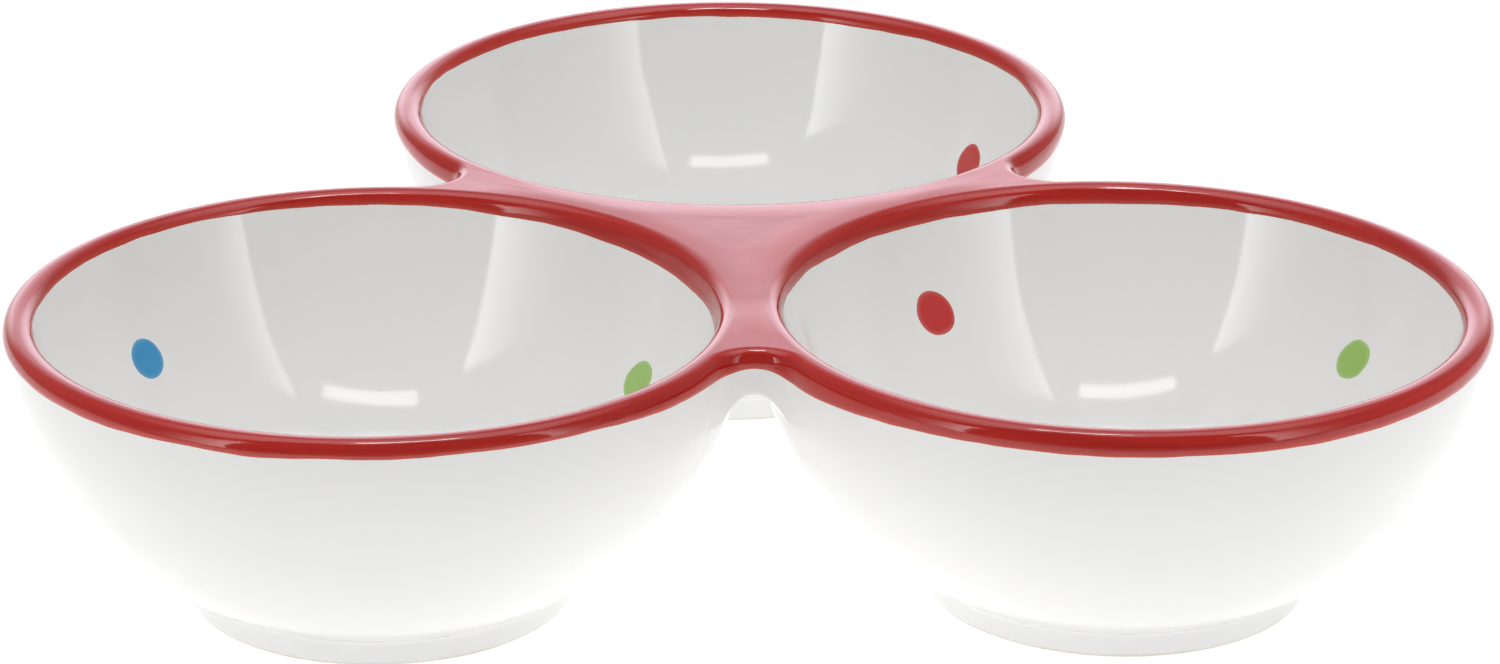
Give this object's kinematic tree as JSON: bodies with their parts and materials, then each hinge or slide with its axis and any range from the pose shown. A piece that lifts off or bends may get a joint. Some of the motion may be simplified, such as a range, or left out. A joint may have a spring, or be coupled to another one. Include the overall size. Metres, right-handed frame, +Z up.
{
  "type": "divided serving bowl",
  "caption": "Divided serving dish: round glazed bowls joined at their rims by a flat web, with a red painted lip, dots inside and a foot ring under each bowl.",
  "frame": {"origin": "on the table, under the middle of the dish's bounding box", "axes": "+Z up; +Y from the two front bowls to the single rear bowl; +X to the right seen from the front"},
  "size_m": [0.22, 0.2054, 0.0456],
  "materials": {
    "white_glaze": "glossy white glaze",
    "dry_foot": "pale foot ring, glaze wiped off its standing face",
    "red_enamel": "glossy red painted under the glaze",
    "red_dot": "glossy red dot",
    "blue_dot": "glossy sky-blue dot",
    "green_dot": "glossy leaf-green dot"
  },
  "bodies": {
    "root": {"left_bowl": "white_glaze", "left_foot_ring": "dry_foot", "left_rim_enamel": "red_enamel", "left_blue_dot": "blue_dot", "left_green_dot": "green_dot", "left_red_dot": "red_dot", "right_bowl": "white_glaze", "right_foot_ring": "dry_foot", "right_rim_enamel": "red_enamel", "right_red_dot": "red_dot", "right_green_dot": "green_dot", "right_blue_dot": "blue_dot", "rear_bowl": "white_glaze", "rear_foot_ring": "dry_foot", "rear_rim_enamel": "red_enamel", "rear_red_dot": "red_dot", "rear_blue_dot": "blue_dot", "rear_green_dot": "green_dot", "bridge": "white_glaze", "bridge_enamel": "red_enamel"}
  },
  "joints": []
}
